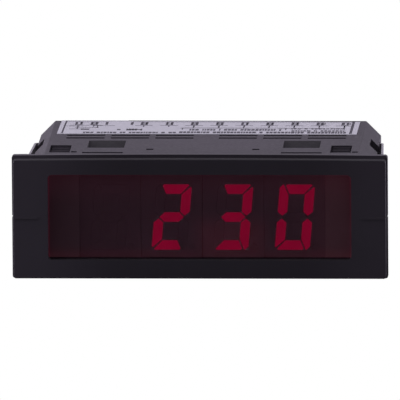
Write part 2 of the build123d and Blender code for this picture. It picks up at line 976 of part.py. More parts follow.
transformer_x = parts_left + transformer_length / 2
transformer_y = parts_rear - transformer_width / 2
save(
    Pos(transformer_x, transformer_y, 0) * moulded(transformer_length, transformer_width, transformer_height),
    "transformer",
)

can_left = transformer_right + back_spacing
can_places = [can_left + can_radius, can_left + 3 * can_radius + back_spacing]
can_y = parts_rear - can_radius
cans = [Pos(x, can_y, 0) * standing(Circle(can_radius), can_height) for x in can_places]
save(Compound(children=cans), "smoothing_capacitors")

fuse_x = can_places[-1] + can_radius + back_spacing + fuse_radius
save(Pos(fuse_x, parts_rear - fuse_radius, 0) * standing(Circle(fuse_radius), fuse_height), "fuse")

film_x = fuse_x + fuse_radius + back_spacing + film_width / 2
film = Pos(film_x, parts_rear - back_row_depth / 2, 0) * moulded(film_width, back_row_depth, film_height)
save(film, "film_capacitor")

regulator_y = parts_front + front_row_depth / 2
regulator_side = 2 * regulator_radius
regulator_flat = Pos(0, regulator_radius / 4) * Rectangle(regulator_side, regulator_side)
regulator_outline = Circle(regulator_radius) & regulator_flat
save(standing(Pos(regulator_x, regulator_y) * regulator_outline, regulator_height), "voltage_regulator")

controller_y = parts_front + front_row_depth / 2
save(Pos(controller_x, controller_y, 0) * chip(), "controller_chip")

bridge_y = parts_front + front_row_depth / 2
save(Pos(bridge_x, bridge_y, 0) * moulded(bridge_width, front_row_depth, bridge_height), "bridge_rectifier")
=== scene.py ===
import json
import math
import bmesh
import bpy
from mathutils import Matrix, Vector


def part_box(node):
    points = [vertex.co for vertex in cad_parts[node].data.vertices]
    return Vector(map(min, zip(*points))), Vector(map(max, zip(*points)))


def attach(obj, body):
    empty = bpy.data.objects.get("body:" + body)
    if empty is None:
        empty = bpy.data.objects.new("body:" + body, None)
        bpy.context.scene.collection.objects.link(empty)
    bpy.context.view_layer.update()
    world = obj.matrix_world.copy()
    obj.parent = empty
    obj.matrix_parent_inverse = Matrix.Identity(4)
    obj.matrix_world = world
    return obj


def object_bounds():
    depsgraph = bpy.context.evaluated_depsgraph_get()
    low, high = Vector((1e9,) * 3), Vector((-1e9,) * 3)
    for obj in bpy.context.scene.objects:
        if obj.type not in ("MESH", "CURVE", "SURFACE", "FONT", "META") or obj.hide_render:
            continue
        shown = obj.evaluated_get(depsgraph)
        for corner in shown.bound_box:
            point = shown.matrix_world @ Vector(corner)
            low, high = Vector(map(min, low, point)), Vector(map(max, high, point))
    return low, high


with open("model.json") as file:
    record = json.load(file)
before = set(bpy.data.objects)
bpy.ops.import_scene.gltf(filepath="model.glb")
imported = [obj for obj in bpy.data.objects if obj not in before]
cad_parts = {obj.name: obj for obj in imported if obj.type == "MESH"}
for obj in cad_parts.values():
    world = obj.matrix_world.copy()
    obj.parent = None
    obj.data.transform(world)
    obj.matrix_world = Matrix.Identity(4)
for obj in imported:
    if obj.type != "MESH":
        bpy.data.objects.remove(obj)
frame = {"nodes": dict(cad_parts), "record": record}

cadLow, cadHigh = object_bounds()
mm = 0.001
black = (0.0, 0.0, 0.0)
meterNodes = frame["nodes"]
print("meter loaded:", len(meterNodes), "sub-parts")


# Node helpers

def link(tree, source, target):
    tree.links.new(source, target)


def setSocket(tree, socket, value):
    # the value is a number, a colour or another node's output
    if isinstance(value, (int, float)):
        socket.default_value = value
    elif isinstance(value, tuple):
        socket.default_value = (*value, 1.0)
    else:
        link(tree, value, socket)


def mathNode(tree, operation, first, second=None):
    node = tree.nodes.new("ShaderNodeMath")
    node.operation = operation
    setSocket(tree, node.inputs[0], first)
    if second is not None:
        setSocket(tree, node.inputs[1], second)
    return node.outputs[0]


def distanceFrom(tree, value, centre):
    return mathNode(tree, "ABSOLUTE", mathNode(tree, "SUBTRACT", value, centre))


def rampNode(tree, factor, low, high, lowValue=0.0, highValue=1.0):
    node = tree.nodes.new("ShaderNodeMapRange")
    node.interpolation_type = "SMOOTHSTEP"
    for name, value in (("From Min", low), ("From Max", high), ("To Min", lowValue), ("To Max", highValue)):
        node.inputs[name].default_value = value
    link(tree, factor, node.inputs["Value"])
    return node.outputs["Result"]


def mixColour(tree, factor, first, second, blend="MIX"):
    node = tree.nodes.new("ShaderNodeMix")
    node.data_type = "RGBA"
    node.blend_type = blend
    for socket, value in zip((node.inputs[0], node.inputs[6], node.inputs[7]), (factor, first, second)):
        setSocket(tree, socket, value)
    return node.outputs[2]


def tinted(tree, colour, tint):
    return mixColour(tree, 1.0, colour, tint, "MULTIPLY")


def noiseNode(tree, vector, scale, detail, roughness):
    node = tree.nodes.new("ShaderNodeTexNoise")
    node.inputs["Detail"].default_value = detail
    node.inputs["Roughness"].default_value = roughness
    link(tree, vector, node.inputs["Vector"])
    setSocket(tree, node.inputs["Scale"], scale)
    return node.outputs["Fac"]


def cloudMask(tree, vector, scale, look, lowValue=0.0, highValue=1.0):
    # noise cut to soft-edged patches
    noise = noiseNode(tree, vector, scale, *look["noise"])
    return rampNode(tree, noise, *look["step"], lowValue, highValue)


def objectPlace(tree):
    return tree.nodes.new("ShaderNodeTexCoord").outputs["Object"]


def splitVector(tree, vector):
    split = tree.nodes.new("ShaderNodeSeparateXYZ")
    link(tree, vector, split.inputs[0])
    return split.outputs


def upwardMask(tree, step):
    # faces that look up
    surface = tree.nodes.new("ShaderNodeNewGeometry")
    return rampNode(tree, splitVector(tree, surface.outputs["Normal"])["Z"], *step)


def startGroup(name, inputs, outputs):
    tree = bpy.data.node_groups.new(name, "ShaderNodeTree")
    for way, labels in (("INPUT", inputs), ("OUTPUT", outputs)):
        for label in labels:
            kind = "NodeSocketColor" if label == "Color" else "NodeSocketFloat"
            tree.interface.new_socket(name=label, in_out=way, socket_type=kind)
    into = tree.nodes.new("NodeGroupInput").outputs
    out = tree.nodes.new("NodeGroupOutput").inputs
    return tree, into, out, objectPlace(tree)


# Effects that several finishes share; a noise is its detail and roughness

grainLook = {"fine": (4.0, 0.65), "patch": (3.0, 0.6), "patchShare": 0.05}


def buildMouldGrain():
    # fine spark-eroded grain of a moulding tool
    tree, into, out, place = startGroup(
        "mouldGrain", ("Scale", "Roughness", "Spread"), ("Height", "Roughness"),
    )
    fine = noiseNode(tree, place, into["Scale"], *grainLook["fine"])
    patchScale = mathNode(tree, "MULTIPLY", into["Scale"], grainLook["patchShare"])
    patch = noiseNode(tree, place, patchScale, *grainLook["patch"])
    both = mathNode(tree, "ADD", fine, patch)
    offset = mathNode(tree, "SUBTRACT", both, 1.0)
    shift = mathNode(tree, "MULTIPLY", offset, into["Spread"])
    link(tree, fine, out["Height"])
    link(tree, mathNode(tree, "ADD", into["Roughness"], shift), out["Roughness"])
    return tree


handlingLook = {"noise": (5.0, 0.6), "step": (0.35, 0.75), "lighter": (1.35, 1.3, 1.35)}


def buildHandling():
    # uneven sheen and faint rubbing left by handling
    tree, into, out, place = startGroup("handling", ("Color", "Amount", "Scale"), ("Color", "Mask"))
    cloud = cloudMask(tree, place, into["Scale"], handlingLook)
    mask = mathNode(tree, "MULTIPLY", cloud, into["Amount"])
    lighter = tinted(tree, into["Color"], handlingLook["lighter"])
    link(tree, mixColour(tree, mask, into["Color"], lighter), out["Color"])
    link(tree, mask, out["Mask"])
    return tree


rubLook = {"samples": 4, "corner": (0.995, 0.85), "noise": (4.0, 0.6), "step": (0.35, 0.65)}


def buildEdgeRub():
    # outer edges where the surface is rubbed bright, in patches
    tree, into, out, place = startGroup("edgeRub", ("Width", "Amount", "Patch Scale"), ("Mask",))
    rounded = tree.nodes.new("ShaderNodeBevel")
    rounded.samples = rubLook["samples"]
    link(tree, into["Width"], rounded.inputs["Radius"])
    surface = tree.nodes.new("ShaderNodeNewGeometry")
    dot = tree.nodes.new("ShaderNodeVectorMath")
    dot.operation = "DOT_PRODUCT"
    link(tree, rounded.outputs["Normal"], dot.inputs[0])
    link(tree, surface.outputs["Normal"], dot.inputs[1])
    edge = rampNode(tree, dot.outputs["Value"], *rubLook["corner"])
    patch = cloudMask(tree, place, into["Patch Scale"], rubLook)
    broken = mathNode(tree, "MULTIPLY", edge, patch)
    link(tree, mathNode(tree, "MULTIPLY", broken, into["Amount"]), out["Mask"])
    return tree


dustLook = {"upward": (0.3, 0.95), "noise": (6.0, 0.7), "step": (0.4, 0.75), "color": (0.42, 0.39, 0.42)}


def buildSettledDust():
    # thin dust on faces that look up
    tree, into, out, place = startGroup("settledDust", ("Color", "Amount", "Scale"), ("Color", "Mask"))
    specks = cloudMask(tree, place, into["Scale"], dustLook)
    settled = mathNode(tree, "MULTIPLY", upwardMask(tree, dustLook["upward"]), specks)
    mask = mathNode(tree, "MULTIPLY", settled, into["Amount"])
    link(tree, mixColour(tree, mask, into["Color"], dustLook["color"]), out["Color"])
    link(tree, mask, out["Mask"])
    return tree


drawnLook = {
    "stretch": (1.0, 0.03, 1.0), "lines": (2.0, 0.5), "lineRough": 0.12,
    "cloudScale": 350.0, "noise": (5.0, 0.6), "step": (0.4, 0.7),
    "stain": (0.55, 0.52, 0.5), "stainRough": 0.25,
}


def buildDrawnMetal():
    # rolled or drawn metal: fine lines along one axis and cloudy tarnish
    tree, into, out, place = startGroup(
        "drawnMetal", ("Color", "Roughness", "Line Scale", "Tarnish"), ("Color", "Roughness", "Height"),
    )
    stretch = tree.nodes.new("ShaderNodeMapping")
    stretch.inputs["Scale"].default_value = drawnLook["stretch"]
    link(tree, place, stretch.inputs["Vector"])
    lines = noiseNode(tree, stretch.outputs["Vector"], into["Line Scale"], *drawnLook["lines"])
    cloud = cloudMask(tree, place, drawnLook["cloudScale"], drawnLook)
    stain = mathNode(tree, "MULTIPLY", cloud, into["Tarnish"])
    darker = tinted(tree, into["Color"], drawnLook["stain"])
    link(tree, mixColour(tree, stain, into["Color"], darker), out["Color"])
    lineRough = mathNode(tree, "MULTIPLY", lines, drawnLook["lineRough"])
    stainRough = mathNode(tree, "MULTIPLY", stain, drawnLook["stainRough"])
    rough = mathNode(tree, "ADD", into["Roughness"], lineRough)
    link(tree, mathNode(tree, "ADD", rough, stainRough), out["Roughness"])
    link(tree, lines, out["Height"])
    return tree


mouldGrain = buildMouldGrain()
handling = buildHandling()
edgeRub = buildEdgeRub()
settledDust = buildSettledDust()
drawnMetal = buildDrawnMetal()
print("shared effects ready")


# Finishes

def startFinish(name):
    material = bpy.data.materials.new(name)
    material.use_nodes = True
    tree = material.node_tree
    tree.nodes.clear()
    out = tree.nodes.new("ShaderNodeOutputMaterial")
    shader = tree.nodes.new("ShaderNodeBsdfPrincipled")
    link(tree, shader.outputs["BSDF"], out.inputs["Surface"])
    return material, tree, shader


def useGroup(tree, group, values):
    node = tree.nodes.new("ShaderNodeGroup")
    node.node_tree = group
    for label, value in values.items():
        setSocket(tree, node.inputs[label], value)
    return node.outputs


def bumpFrom(tree, shader, height, depth):
    bump = tree.nodes.new("ShaderNodeBump")
    bump.inputs["Strength"].default_value = 1.0
    bump.inputs["Distance"].default_value = depth
    link(tree, height, bump.inputs["Height"])
    link(tree, bump.outputs["Normal"], shader.inputs["Normal"])


def glowWith(tree, shader, colour):
    link(tree, colour, shader.inputs["Emission Color"])
    shader.inputs["Emission Strength"].default_value = 1.0


# Places on a moulding that differ from the rest of it by painted highlight, shade and glow; a step is where
# a mask starts and where it is full

endHighlightLook = {
    "left": (-0.014, -0.034), "right": (0.02, 0.034), "leftAmount": 0.6, "rightAmount": 0.3,
    "tint": (2.2, 2.25, 2.2), "rougher": 0.0,
}


def endMask(tree, look):
    # painted highlight: the two ends of the front made lighter, standing in for the brighter light they
    # reflect
    across = splitVector(tree, objectPlace(tree))["X"]
    left = mathNode(tree, "MULTIPLY", rampNode(tree, across, *look["left"]), look["leftAmount"])
    right = mathNode(tree, "MULTIPLY", rampNode(tree, across, *look["right"]), look["rightAmount"])
    return mathNode(tree, "ADD", left, right)


rimShadeLook = {"upward": (0.2, 0.6), "forward": (-0.0014, -0.0017), "tint": (0.3, 0.3, 0.3), "rougher": 0.45}


def rimMask(tree, look):
    # upward faces of the raised rim, painted darker as shade, and coarser than the rest of the frame
    forward = rampNode(tree, splitVector(tree, objectPlace(tree))["Y"], *look["forward"])
    return mathNode(tree, "MULTIPLY", upwardMask(tree, look["upward"]), forward)


pocketShadeLook = {
    "middle": 0.0188, "halfWidth": 0.0036, "centre": 0.01745, "halfLength": 0.0042, "blur": 0.00012,
    "tint": (0.26, 0.26, 0.26), "rougher": 0.4,
}


def pocketMask(tree, look):
    # floors of the two pockets, painted darker as shade in the recesses, and rougher than the faces around
    # them
    place = splitVector(tree, objectPlace(tree))
    across = distanceFrom(tree, mathNode(tree, "ABSOLUTE", place["X"]), look["middle"])
    along = distanceFrom(tree, place["Y"], look["centre"])
    inside = rampNode(tree, across, look["halfWidth"], look["halfWidth"] - look["blur"])
    between = rampNode(tree, along, look["halfLength"], look["halfLength"] - look["blur"])
    return mathNode(tree, "MULTIPLY", inside, between)


displayLook = {
    "even": (0.004, 0.0004, 0.0012), "high": (0.014, 0.003, 0.0055), "highStep": (0.001, 0.0075),
    "right": (0.006, 0.0008, 0.0008), "rightStep": (0.018, 0.025),
    "near": (0.016, 0.002, 0.003), "nearStep": (0.001, -0.003),
    "middle": 0.006, "besideStep": (0.0085, 0.004), "lowStep": (-0.0058, -0.0078), "lowShare": 0.8,
}


def displayGlow(tree, look):
    # painted glow: emission on the display's faces that stands in for light the lit digits scatter and for
    # reflections in the window, strongest low down and beside the middle
    place = splitVector(tree, objectPlace(tree))
    low = mathNode(tree, "MULTIPLY", rampNode(tree, place["Z"], *look["lowStep"]), look["lowShare"])
    beside = rampNode(tree, distanceFrom(tree, place["X"], look["middle"]), *look["besideStep"])
    near = mathNode(tree, "MULTIPLY", beside, rampNode(tree, place["Z"], *look["nearStep"]))
    strong = mixColour(tree, mathNode(tree, "MAXIMUM", low, near), black, look["near"])
    high = rampNode(tree, place["Z"], *look["highStep"])
    right = rampNode(tree, place["X"], *look["rightStep"])
    even = mixColour(tree, right, mixColour(tree, high, look["even"], look["high"]), look["right"], "ADD")
    return mixColour(tree, 1.0, even, strong, "ADD")


# Looks of the moulded and metal pieces

plasticLook = {
    "color": (0.022, 0.02, 0.0225), "roughness": 0.42, "spread": 0.1,
    "grainScale": 5000.0, "grainDepth": 0.000012,
    "handled": 0.35, "cloudScale": 45.0, "dust": 0.05, "dustScale": 1400.0,
    "edgeWidth": 0.00012, "edgeAmount": 0.25, "edgeScale": 500.0, "edgeColor": (0.09, 0.085, 0.09),
    "ior": 1.5,
}
frameLook = {
    **plasticLook, "color": (0.042, 0.0362, 0.0468), "roughness": 0.4, "edgeAmount": 0.35,
    "ends": endHighlightLook, "rim": rimShadeLook,
}
housingLook = {
    **plasticLook, "color": (0.047, 0.0405, 0.052), "roughness": 0.52, "grainDepth": 0.00002, "dust": 0.12,
    "handled": 0.6, "edgeColor": (0.12, 0.11, 0.125), "pockets": pocketShadeLook,
}
faceGrey = (0.3, 0.3, 0.3)
digitLook = {
    **plasticLook, "color": faceGrey, "roughness": 0.6, "dust": 0.0, "edgeAmount": 0.0, "glow": displayLook,
}
headerLook = {**plasticLook, "color": (0.024, 0.024, 0.026), "roughness": 0.45}
plugLook = {**plasticLook, "color": (0.028, 0.028, 0.031), "roughness": 0.48, "dust": 0.1}
pottingLook = {**plasticLook, "color": (0.03, 0.03, 0.034), "roughness": 0.4}
chipLook = {**plasticLook, "color": (0.025, 0.025, 0.026), "roughness": 0.65}
filmLook = {**plasticLook, "color": (0.38, 0.27, 0.04), "roughness": 0.4, "edgeColor": (0.5, 0.4, 0.12)}
fuseLook = {**plasticLook, "color": (0.1, 0.045, 0.03), "roughness": 0.35}
sleeveLook = {**plasticLook, "color": (0.02, 0.027, 0.06), "roughness": 0.22, "grainDepth": 0.000004}
springLook = {
    "color": (0.68, 0.66, 0.7), "roughness": 0.34,
    "lineScale": 3500.0, "tarnish": 0.25, "lineDepth": 0.000006,
}
tinLook = {**springLook, "color": (0.7, 0.69, 0.65), "roughness": 0.25, "tarnish": 0.35}
clampLook = {**springLook, "color": (0.6, 0.6, 0.57), "roughness": 0.33, "tarnish": 0.4}
screwLook = {**springLook, "color": (0.62, 0.62, 0.62), "roughness": 0.3, "tarnish": 0.3}


def mouldedPlastic(name, look):
    material, tree, shader = startFinish(name)
    grain = useGroup(tree, mouldGrain, {
        "Scale": look["grainScale"], "Roughness": look["roughness"], "Spread": look["spread"],
    })
    rubbed = useGroup(tree, handling, {
        "Color": look["color"], "Amount": look["handled"], "Scale": look["cloudScale"],
    })
    dusty = useGroup(tree, settledDust, {
        "Color": rubbed["Color"], "Amount": look["dust"], "Scale": look["dustScale"],
    })
    edges = useGroup(tree, edgeRub, {
        "Width": look["edgeWidth"], "Amount": look["edgeAmount"], "Patch Scale": look["edgeScale"],
    })
    colour = mixColour(tree, edges["Mask"], dusty["Color"], look["edgeColor"])
    roughness = grain["Roughness"]
    # painted highlight at the ends and painted shade on the rim and in the pockets, where a look has them
    for where, maskOf in (("ends", endMask), ("rim", rimMask), ("pockets", pocketMask)):
        if where in look:
            mask = maskOf(tree, look[where])
            colour = mixColour(tree, mask, colour, tinted(tree, colour, look[where]["tint"]))
            rougher = mathNode(tree, "MULTIPLY", mask, look[where]["rougher"])
            roughness = mathNode(tree, "ADD", roughness, rougher)
    # painted glow on the display's faces, where a look has it
    if "glow" in look:
        glowWith(tree, shader, displayGlow(tree, look["glow"]))
    link(tree, colour, shader.inputs["Base Color"])
    link(tree, roughness, shader.inputs["Roughness"])
    shader.inputs["IOR"].default_value = look["ior"]
    bumpFrom(tree, shader, grain["Height"], look["grainDepth"])
    return material


def sheetMetal(name, look):
    material, tree, shader = startFinish(name)
    metal = useGroup(tree, drawnMetal, {
        "Color": look["color"], "Roughness": look["roughness"],
        "Line Scale": look["lineScale"], "Tarnish": look["tarnish"],
    })
    link(tree, metal["Color"], shader.inputs["Base Color"])
    link(tree, metal["Roughness"], shader.inputs["Roughness"])
    shader.inputs["Metallic"].default_value = 1.0
    bumpFrom(tree, shader, metal["Height"], look["lineDepth"])
    return material


# The window, the digits' strokes, the boards and the label

filterLook = {
    "color": (0.66, 0.48, 0.56), "roughness": 0.015, "ior": 1.49,
    "wiped": 0.12, "wipeScale": 30.0, "smear": 0.08,
    "edge": (0.8, 0.36, 0.5), "paintedEdgeGlow": (0.014, 0.0008, 0.003),
    "topStep": (0.0079, 0.0082), "sideStep": (0.02865, 0.0289),
}


def redFilter():
    # polished dark red acrylic with faint wipe marks; a brighter, glowing line along its top edge and ends
    # is painted light
    look = filterLook
    material, tree, shader = startFinish("redFilter")
    place = splitVector(tree, objectPlace(tree))
    top = rampNode(tree, place["Z"], *look["topStep"])
    sides = rampNode(tree, mathNode(tree, "ABSOLUTE", place["X"]), *look["sideStep"])
    rim = mathNode(tree, "MAXIMUM", sides, top)
    tint = mixColour(tree, rim, look["color"], look["edge"])
    wipe = useGroup(tree, handling, {"Color": tint, "Amount": look["wiped"], "Scale": look["wipeScale"]})
    link(tree, wipe["Color"], shader.inputs["Base Color"])
    smear = mathNode(tree, "MULTIPLY", wipe["Mask"], look["smear"])
    link(tree, mathNode(tree, "ADD", smear, look["roughness"]), shader.inputs["Roughness"])
    # painted glow along the top edge and ends
    glowWith(tree, shader, mixColour(tree, rim, black, look["paintedEdgeGlow"]))
    shader.inputs["Transmission Weight"].default_value = 1.0
    shader.inputs["IOR"].default_value = look["ior"]
    return material


litLook = {
    "middle": (0.262, 0.0, 0.029), "edge": (0.235, 0.0, 0.026), "scale": 260.0, "noise": (3.0, 0.5),
    "step": (0.3, 0.7), "skinEdge": (0.03, 0.0, 0.005), "skinMiddle": (0.04, 0.0, 0.006),
    "roughness": 0.4, "specular": 0.05,
}


def litEpoxy():
    # glowing stroke, a little uneven over its length
    look = litLook
    material, tree, shader = startFinish("litEpoxy")
    glow = cloudMask(tree, objectPlace(tree), look["scale"], look)
    glowWith(tree, shader, mixColour(tree, glow, look["edge"], look["middle"]))
    skin = mixColour(tree, glow, look["skinEdge"], look["skinMiddle"])
    link(tree, skin, shader.inputs["Base Color"])
    shader.inputs["Roughness"].default_value = look["roughness"]
    shader.inputs["Specular IOR Level"].default_value = look["specular"]
    return material


unlitLook = {"color": faceGrey, "clouded": 0.1, "cloudScale": 300.0, "roughness": 0.6, "glow": displayLook}


def darkEpoxy():
    # unlit stroke, nearly as dark as the digit's face
    look = unlitLook
    material, tree, shader = startFinish("darkEpoxy")
    cloud = useGroup(tree, handling, {
        "Color": look["color"], "Amount": look["clouded"], "Scale": look["cloudScale"],
    })
    link(tree, cloud["Color"], shader.inputs["Base Color"])
    shader.inputs["Roughness"].default_value = look["roughness"]
    # the same painted glow as the digit faces
    glowWith(tree, shader, displayGlow(tree, look["glow"]))
    return material


boardLook = {
    "color": (0.012, 0.1, 0.03), "track": (0.02, 0.15, 0.045),
    "trackScale": 260.0, "trackGap": 0.05, "trackDepth": 0.00003,
    "roughness": (0.22, 0.38), "scale": 900.0, "noise": (3.0, 0.5), "step": (0.3, 0.7),
}


def circuitLacquer():
    # green lacquer over copper tracks
    look = boardLook
    material, tree, shader = startFinish("circuitLacquer")
    place = objectPlace(tree)
    cells = tree.nodes.new("ShaderNodeTexBrick")
    cells.inputs["Scale"].default_value = look["trackScale"]
    cells.inputs["Mortar Size"].default_value = look["trackGap"]
    link(tree, place, cells.inputs["Vector"])
    tracks = mixColour(tree, cells.outputs["Fac"], look["color"], look["track"])
    link(tree, tracks, shader.inputs["Base Color"])
    uneven = cloudMask(tree, place, look["scale"], look, *look["roughness"])
    link(tree, uneven, shader.inputs["Roughness"])
    bumpFrom(tree, shader, cells.outputs["Fac"], look["trackDepth"])
    return material


labelLook = {
    "color": (0.61, 0.605, 0.65), "tone": (0.545, 0.54, 0.585), "roughness": (0.38, 0.5),
    "scale": 140.0, "noise": (4.0, 0.6), "step": (0.3, 0.7),
    "cockleScale": 180.0, "cockle": (2.0, 0.5), "cockleDepth": 0.00008,
}


def labelStock():
    # satin self-adhesive label, slightly cockled
    look = labelLook
    material, tree, shader = startFinish("labelStock")
    place = objectPlace(tree)
    cloud = cloudMask(tree, place, look["scale"], look)
    link(tree, mixColour(tree, cloud, look["color"], look["tone"]), shader.inputs["Base Color"])
    link(tree, rampNode(tree, cloud, 0.0, 1.0, *look["roughness"]), shader.inputs["Roughness"])
    cockles = noiseNode(tree, place, look["cockleScale"], *look["cockle"])
    bumpFrom(tree, shader, cockles, look["cockleDepth"])
    return material


inkLook = {"color": (0.05, 0.045, 0.062), "patchy": 0.8, "patchScale": 2500.0, "roughness": (0.4, 0.6)}


def labelInk():
    look = inkLook
    material, tree, shader = startFinish("labelInk")
    patchy = useGroup(tree, handling, {
        "Color": look["color"], "Amount": look["patchy"], "Scale": look["patchScale"],
    })
    link(tree, patchy["Color"], shader.inputs["Base Color"])
    link(tree, rampNode(tree, patchy["Mask"], 0.0, 1.0, *look["roughness"]), shader.inputs["Roughness"])
    return material


finishes = {
    "frame_black": mouldedPlastic("frameBlack", frameLook),
    "housing_grey": mouldedPlastic("housingGrey", housingLook),
    "digit_black": mouldedPlastic("digitBlack", digitLook),
    "header_black": mouldedPlastic("headerBlack", headerLook),
    "plug_black": mouldedPlastic("plugBlack", plugLook),
    "potting_black": mouldedPlastic("pottingBlack", pottingLook),
    "chip_black": mouldedPlastic("chipBlack", chipLook),
    "film_box": mouldedPlastic("filmBox", filmLook),
    "fuse_brown": mouldedPlastic("fuseBrown", fuseLook),
    "can_sleeve": mouldedPlastic("canSleeve", sleeveLook),
    "spring_steel": sheetMetal("springSteel", springLook),
    "pin_tin": sheetMetal("pinTin", tinLook),
    "contact_tin": sheetMetal("contactTin", tinLook),
    "clamp_steel": sheetMetal("clampSteel", clampLook),
    "screw_steel": sheetMetal("screwSteel", screwLook),
    "filter_red": redFilter(),
    "segment_lit": litEpoxy(),
    "segment_dark": darkEpoxy(),
    "board_green": circuitLacquer(),
    "label_paper": labelStock(),
}

slotOf = {part["node"]: part["material_slot"] for part in frame["record"]["subparts"]}
for node, piece in meterNodes.items():
    piece.data.materials.clear()
    piece.data.materials.append(finishes[slotOf[node]])
print("finishes on", len(meterNodes), "sub-parts")


# Softened moulded edges, widths in millimetres

softEdge = {
    "segments": 2, "sharperThan": 35,
    "widths": {
        "housing": 0.12, "front_frame": 0.08, "supply_plug_body": 0.15, "signal_plug_body": 0.15,
        "supply_header": 0.1, "signal_header": 0.1, "display_window": 0.03, "transformer": 0.2,
        "supply_plug_screws": 0.08, "signal_plug_screws": 0.08,
        "panel_spring_left": 0.04, "panel_spring_right": 0.04,
    },
}
for node, softness in softEdge["widths"].items():
    bevel = meterNodes[node].modifiers.new("softEdge", "BEVEL")
    bevel.width = softness * mm
    bevel.segments = softEdge["segments"]
    bevel.limit_method = "ANGLE"
    bevel.angle_limit = math.radians(softEdge["sharperThan"])
    bevel.use_clamp_overlap = True
    bevel.harden_normals = True
print("edges softened on", len(softEdge["widths"]), "sub-parts")


# Print on the type label

def meshData(name, mesh):
    data = bpy.data.meshes.new(name)
    mesh.to_mesh(data)
    mesh.free()
    return data


def newPiece(name, mesh, finish, body):
    piece = bpy.data.objects.new(name, mesh)
    bpy.context.scene.collection.objects.link(piece)
    mesh.materials.append(finish)
    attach(piece, body)
    return piece


def addBar(mesh, xMiddle, yMiddle, width, length, zLow, thickness):
    # a flat printed bar, sizes in millimetres
    made = bmesh.ops.create_cube(mesh, size=1.0)
    scale = Matrix.Diagonal((width * mm, length * mm, thickness * mm, 1.0))
    place = Matrix.Translation(Vector((xMiddle, yMiddle, zLow + thickness / 2)) * mm)
    bmesh.ops.transform(mesh, matrix=place @ scale, verts=made["verts"])
    return made["verts"]


labelPrint = {
    "leftLine": (-28.0, 0.32), "rightLine": (27.75, 0.5), "rear": 43.3, "front": 29.0,
    "line": 0.24, "inkThickness": 0.02, "skew": 0.6,
    "supplyMarks": (-25.42, -22.4), "signalFirst": -12.7, "signalPitch": 4.866, "signalCount": 9,
    "boxY": 40.5, "boxWidth": 1.4, "boxLength": 3.5, "boxPen": 0.44,
    "bracketY": 38.2, "bracketWidth": 3.4, "stemLength": 1.6,
    "headLine": 42.2, "supplyEnd": -20.0, "signalStart": -15.1, "headMark": 3.2,
    "leadY": 36.6, "leadLength": 3.0, "branchY": 35.2, "branchShift": 1.2, "branchLength": 2.6,
    # wiring diagrams: x, y and length of a line, or x, y, width and length of a block
    "across": [
        (-26.0, 37.2, 3.2), (-23.6, 35.6, 4.6), (-20.4, 37.8, 4.2), (-25.2, 33.9, 3.4), (5.0, 35.4, 20.0),
    ],
    "along": [(-21.6, 36.6, 2.6), (-25.4, 35.4, 2.4), (-5.0, 34.4, 2.0), (15.0, 34.4, 2.0)],
    "blocks": [(-23.8, 33.6, 1.6, 1.3), (-14.3, 33.3, 2.9, 0.7)],
    # rows of words: left end, right end, y, height and seed
    "rows": [
        (-17.6, -16.4, 33.3, 1.2, 5), (-15.8, -12.6, 33.3, 2.0, 8), (16.0, 26.4, 34.6, 1.0, 17),
        (-3.6, 14.2, 33.3, 1.7, 44), (16.2, 26.6, 32.3, 1.2, 29), (-24.0, -6.5, 29.9, 1.5, 61),
        (-5.4, 26.9, 30.3, 1.9, 73),
    ],
    "number": {"height": 1.5, "widthShare": 0.5, "pen": 0.22, "gap": 1.6},
    "word": {
        "factor": 37, "shift": 11, "cycle": 101, "narrowest": 0.25, "spread": 0.45,
        "gap": 0.16, "every": 5, "wideGap": 0.7,
    },
    "strip": {"left": -16.0, "right": 28.9, "rear": 43.88, "narrow": 0.3, "wide": 1.0},
}
digitStrokes = {
    "0": "abcdef", "1": "bc", "2": "abged", "3": "abgcd", "4": "fgbc",
    "5": "afgcd", "6": "afgedc", "7": "abc", "8": "abcdefg", "9": "abcdfg",
}


def printNumber(bar, text, x, y):
    # terminal number drawn in seven straight strokes
    look = labelPrint["number"]
    height = look["height"]
    width = height * look["widthShare"]
    pen = look["pen"]
    advance = width + pen * look["gap"]
    start = x - advance * (len(text) - 1) / 2
    for index, sign in enumerate(text):
        middle = start + index * advance
        left = middle - width / 2
        right = middle + width / 2
        upper = y + height / 4
        lower = y - height / 4
        strokes = {
            "a": (middle, y + height / 2, width, pen),
            "b": (right, upper, pen, height / 2),
            "c": (right, lower, pen, height / 2),
            "d": (middle, y - height / 2, width, pen),
            "e": (left, lower, pen, height / 2),
            "f": (left, upper, pen, height / 2),
            "g": (middle, y, width, pen),
        }
        for stroke in digitStrokes[sign]:
            bar(*strokes[stroke])


def printWords(bar, xLow, xHigh, y, height, seed):
    # a row of short bars that stands for a line of small text
    look = labelPrint["word"]
    x = xLow
    step = seed
    while x < xHigh:
        step = (step * look["factor"] + look["shift"]) % look["cycle"]
        width = look["narrowest"] + look["spread"] * step / look["cycle"]
        bar(x + width / 2, y, width, height)
        x += width + (look["gap"] if step % look["every"] else look["wideGap"])


def printTerminal(bar, number, x):
    # a terminal's box and number, with the bracket and stem in front of them
    look = labelPrint
    pen = look["boxPen"]
    halfWidth = (look["boxWidth"] - pen) / 2
    halfLength = (look["boxLength"] - pen) / 2
    for side in (-1, 1):
        bar(x + side * halfWidth, look["boxY"], pen, look["boxLength"])
        bar(x, look["boxY"] + side * halfLength, look["boxWidth"] - 2 * pen, pen)
    printNumber(bar, str(number), x, look["boxY"])
    bar(x, look["bracketY"], look["bracketWidth"], look["line"])
    bar(x, look["bracketY"] - look["stemLength"] / 2, look["line"], look["stemLength"])


def printRearStrip(bar):
    # dark strip along the rear edge that widens to the right
    look = labelPrint["strip"]
    middleX = (look["left"] + look["right"]) / 2
    middleY = look["rear"] - look["wide"] / 2
    for vert in bar(middleX, middleY, look["right"] - look["left"], look["wide"]):
        if vert.co.x < 0 and vert.co.y < middleY * mm:
            vert.co.y = (look["rear"] - look["narrow"]) * mm


